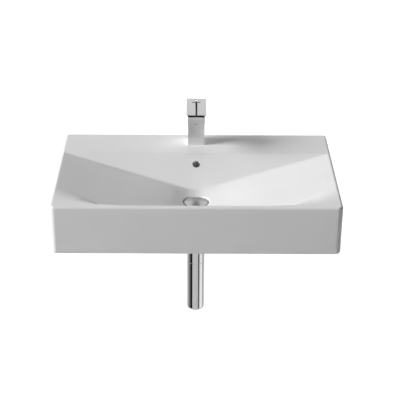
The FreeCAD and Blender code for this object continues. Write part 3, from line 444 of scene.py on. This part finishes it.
# ---- Moving disc ----
# The upper disc, of the same ground alumina. The rotor turns it over the ports of the lower one, which
# mixes hot and cold.
as_built("moving_disc", "swivel", alumina)

# ---- Cartridge rotor ----
# The carrier that turns with the lever, moulded in a lighter grey than the cup. Its slot takes the spindle
# and its cross hole the pin.
light_plastic = finish("light grey plastic", (0.4, 0.4, 0.41), 0.4)
mottled(light_plastic, (0.37, 0.37, 0.38), (0.43, 0.43, 0.44), 70)
as_built("cartridge_rotor", "swivel", light_plastic)

# ---- Rotor pin ----
# A short steel pin with a dull zinc plate, in the cross hole of the rotor. The spindle tilts on
# it when the lever is lifted.
as_built("rotor_pin", "swivel", zinc)

# ---- Cartridge ring nut ----
# A ring turned from brass, screwed into the mixer's hollow over the cartridge, which it holds
# down.
as_built("cartridge_ring_nut", "basin", brass)

# ---- Lever spindle ----
# A square spindle milled from brass and pinned in the rotor. The lever is locked on its upper
# end.
as_built("lever_spindle", "lever", brass)

# ---- Lever ----
# A flat plate, polished and chromed on top. The walls of the long slot and the cross slot, the sunk faces and
# the underside are painted black as painted shade, so the slots read as dark lines from above.
SLOT_HALF = 0.003           # the slots' walls lie within this distance of their middle lines
CROSS_SLOT_Y = -0.062       # middle line of the cross slot
PLATE_ABOVE = 0.19          # the plate lies above this height
TOP_ABOVE = 0.193           # and its top above this one
lever_chrome = finish("lever chrome", (0.47, 0.47, 0.48), 0.12, 1.0)
uneven(lever_chrome, 0.10, 0.14, 60)
handle = as_built("lever", "lever", lever_chrome)
# painted shade: black on the slot walls, the sunk faces and the underside of the plate
handle.data.materials.append(painted_shade)
for face in handle.data.polygons:
    x, y, z = face.center
    long_wall = abs(face.normal.x) > FACING and abs(x) < SLOT_HALF
    cross_wall = abs(face.normal.y) > FACING and abs(y - CROSS_SLOT_Y) < SLOT_HALF and z > PLATE_ABOVE
    sunk = face.normal.z > FACING and z < TOP_ABOVE
    if long_wall or cross_wall or sunk or face.normal.z < -FACING:
        face.material_index = 1

# ---- Lever screw ----
# A small grub screw with a dark oxide skin, in the boss of the lever. It locks the lever on
# its spindle.
dark_steel = finish("dark steel", (0.1, 0.1, 0.1), 0.4, 1.0)
mottled(dark_steel, (0.08, 0.08, 0.08), (0.12, 0.12, 0.12), 200)
as_built("lever_screw", "lever", dark_steel)

# ---- Mixer stud ----
# A brass stud, threaded over its whole length. It reaches from the foot of the mixer down through the
# ledge.
brass_thread = finish("brass thread", (0.72, 0.58, 0.32), 0.3, 1.0)
mottled(brass_thread, (0.66, 0.52, 0.28), (0.74, 0.6, 0.34), 60)
threaded(brass_thread, 0.00125, 0.0004, "Z")
as_built("mixer_stud", "basin", brass_thread)

# ---- Mixer rubber washer ----
# A horseshoe of black rubber, open to the back for the supplies, with a hole for the stud. It
# lies against the clay under the ledge.
as_built("mixer_rubber_washer", "basin", rubber)

# ---- Mixer metal washer ----
# A horseshoe of the same outline, stamped from steel with a dull zinc plate, under the rubber
# one. It spreads the load of the nut.
as_built("mixer_metal_washer", "basin", zinc)

# ---- Mixer fixing nut ----
# A hexagon nut turned from brass, on the lower end of the stud. It clamps the mixer to the
# ledge from below.
as_built("mixer_fixing_nut", "basin", brass)

# ---- Stage ----
# A pale floor far below the basin, a white surround, upright cards that only the chrome mirrors, and three
# soft lamps: a strong one from the left, and weak ones from above and from behind. The cards, most of them
# glowing, are painted reflections: the dark and grey stripes in the chrome.
FLOOR_HEIGHT = -0.78
FLOOR_SIZE = 12
FLOOR_SEEN = 0.6            # the floor's glow for the eye
FLOOR_MIRRORED = 0.15       # and in the chrome
CARD_FOOT, CARD_TOP = -0.779, -0.33
CARDS_Y = -0.29             # the cards stand in a circle round this place, under the drain
CARD_DISTANCE = 0.6


def flat_sheet(across, along):
    """A flat level skin of the given size, round the origin."""
    shape = bmesh.new()
    bmesh.ops.create_grid(shape, x_segments=1, y_segments=1, size=0.5)
    bmesh.ops.scale(shape, vec=(across, along, 1), verts=shape.verts)
    return shape


sheet = flat_sheet(FLOOR_SIZE, FLOOR_SIZE)
bmesh.ops.translate(sheet, vec=(0, 0, FLOOR_HEIGHT), verts=sheet.verts)
floor = placed("floor", sheet)
floor_paint = finish("pale floor", (0.85, 0.85, 0.85), 0.9)
tree = floor_paint.node_tree
shader = tree.nodes["Principled BSDF"]
path = tree.nodes.new("ShaderNodeLightPath")
shader.inputs["Emission Color"].default_value = (1, 1, 1, 1)
seen = tree.nodes.new("ShaderNodeMath")
seen.operation = "MULTIPLY"
seen.inputs[1].default_value = FLOOR_SEEN
mirrored = tree.nodes.new("ShaderNodeMath")
mirrored.operation = "MULTIPLY_ADD"
mirrored.inputs[1].default_value = FLOOR_MIRRORED
tree.links.new(path.outputs["Is Camera Ray"], seen.inputs[0])
tree.links.new(path.outputs["Is Glossy Ray"], mirrored.inputs[0])
tree.links.new(seen.outputs["Value"], mirrored.inputs[2])
tree.links.new(mirrored.outputs["Value"], shader.inputs["Emission Strength"])
dress(floor, floor_paint)

world = bpy.data.worlds.new("surround")
bpy.context.scene.world = world
world.use_nodes = True
tree = world.node_tree
backdrop = tree.nodes["Background"]
path = tree.nodes.new("ShaderNodeLightPath")
shown = tree.nodes.new("ShaderNodeMath")
shown.operation = "MAXIMUM"
tree.links.new(path.outputs["Is Camera Ray"], shown.inputs[0])
tree.links.new(path.outputs["Is Glossy Ray"], shown.inputs[1])
tree.links.new(shown.outputs["Value"], backdrop.inputs["Strength"])
backdrop.inputs["Color"].default_value = (1, 1, 1, 1)


def card(name, azimuth, width, tone, reflection_glow=0.0):
    """An upright card on the floor, turned towards the trap, which only polished pieces show: a painted
    reflection, as bright as its tone and its glow.
    """
    angle = math.radians(azimuth)
    shape = flat_sheet(width, CARD_TOP - CARD_FOOT)
    bmesh.ops.rotate(shape, matrix=Matrix.Rotation(math.radians(90), 3, "X"), verts=shape.verts)
    bmesh.ops.rotate(shape, matrix=Matrix.Rotation(angle, 3, "Z"), verts=shape.verts)
    across = CARD_DISTANCE * math.sin(angle)
    along = CARDS_Y - CARD_DISTANCE * math.cos(angle)
    middle = (across, along, (CARD_FOOT + CARD_TOP) / 2)
    bmesh.ops.translate(shape, vec=middle, verts=shape.verts)
    piece = placed(name, shape)
    paint = finish(name, (tone, tone, tone), 0.9)
    shader = paint.node_tree.nodes["Principled BSDF"]
    shader.inputs["Emission Color"].default_value = (1, 1, 1, 1)
    shader.inputs["Emission Strength"].default_value = reflection_glow
    dress(piece, paint)
    piece.visible_camera = False
    piece.visible_diffuse = False
    piece.visible_shadow = False


# painted reflections: the black card and the glowing grey and white cards make the stripes in the chrome
card("black card", -58, 0.30, 0.005)
card("dark grey card", -80, 0.17, 0.01, 0.14)
card("middle grey card", -98, 0.20, 0.01, 0.38)
card("light grey card", -118, 0.25, 0.01, 0.55)
card("grey card", 38, 0.16, 0.08)
card("white card", 77, 0.36, 0.5, 0.5)


def far_lamp(name, toward, strength, softness):
    """A distant soft lamp that shines from a direction, as soft as its width in degrees."""
    light = bpy.data.lights.new(name, "SUN")
    light.energy = strength
    light.angle = math.radians(softness)
    lamp = bpy.data.objects.new(name, light)
    lamp.rotation_euler = Vector(toward).to_track_quat("Z", "Y").to_euler()
    bpy.context.scene.collection.objects.link(lamp)


far_lamp("key lamp", (-0.897, -0.174, 0.407), 4.5, 30)
far_lamp("top lamp", (0.000, -0.035, 0.999), 0.3, 60)
far_lamp("back lamp", (0.000, 0.819, 0.574), 0.1, 60)

# ---- Camera ----
# A long lens in front of the basin, about three metres away, which looks down on it at 27 degrees. It is
# turned and rolled by less than half a degree.
SENSOR = 36                 # millimetres
PICTURE_WIDTH = 400         # pixels
FOCAL_PIXELS = 1161.3       # focal length in pixels of that picture
CAMERA_PLACE = (-0.0105, -3.0712, 1.4293)
TURN, LOOK_DOWN, ROLL = -0.431, 27.12, 0.428
lens = bpy.data.cameras.new("camera")
lens.sensor_width = SENSOR
lens.lens = FOCAL_PIXELS * SENSOR / PICTURE_WIDTH
camera = bpy.data.objects.new("camera", lens)
bpy.context.scene.collection.objects.link(camera)
turn = Matrix.Rotation(math.radians(TURN), 4, "Z")
tilt = Matrix.Rotation(math.radians(90 - LOOK_DOWN), 4, "X")
roll = Matrix.Rotation(math.radians(ROLL), 4, "Z")
camera.matrix_world = Matrix.Translation(CAMERA_PLACE) @ turn @ tilt @ roll
bpy.context.scene.camera = camera
bpy.context.scene.view_settings.view_transform = "Standard"
